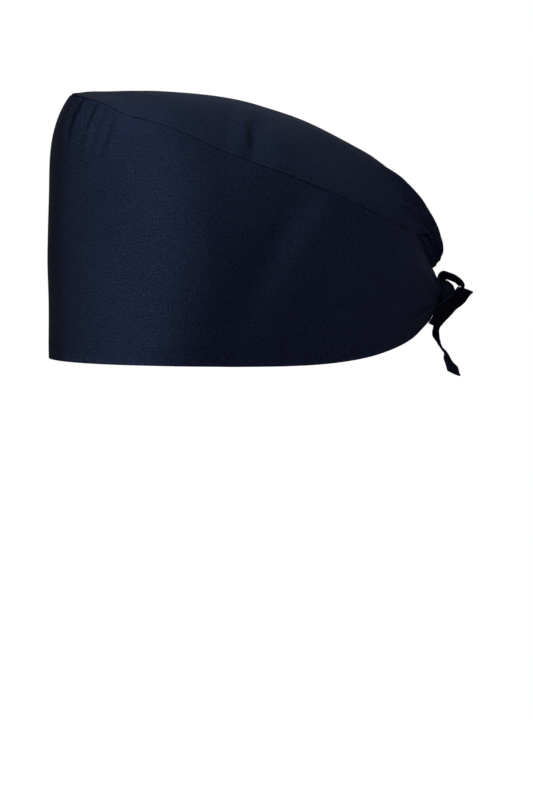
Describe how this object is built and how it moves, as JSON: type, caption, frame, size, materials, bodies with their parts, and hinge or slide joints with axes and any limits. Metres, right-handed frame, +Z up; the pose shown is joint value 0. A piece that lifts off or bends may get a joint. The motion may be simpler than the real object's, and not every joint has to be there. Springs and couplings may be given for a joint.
{
  "type": "tie-back scrub cap",
  "caption": "Soft tie-back cloth scrub cap: tall forehead band, slanting top seam, domed crown gathered at the nape, and a knotted tie with a loop and two loose ends.",
  "frame": {"origin": "middle of the head opening, level with the hem at the forehead", "axes": "+X towards the wearer's left, -Y towards the forehead, +Y towards the tie at the nape, +Z up out of the crown"},
  "size_m": [0.1642, 0.2441, 0.1637],
  "materials": {
    "band_cloth": "matte navy poplin, fine weave",
    "crown_cloth": "matte navy poplin, fine weave",
    "tie_cloth": "matte dark navy, folded and stitched strap",
    "thread": "matte dark navy sewing thread"
  },
  "bodies": {
    "root": {"side_band": "band_cloth", "crown": "crown_cloth", "back_casing": "crown_cloth", "tie_knot": "tie_cloth", "knot_wrap": "tie_cloth", "tie_loop": "tie_cloth", "tie_short_end": "tie_cloth", "tie_tail": "tie_cloth"}
  },
  "joints": []
}
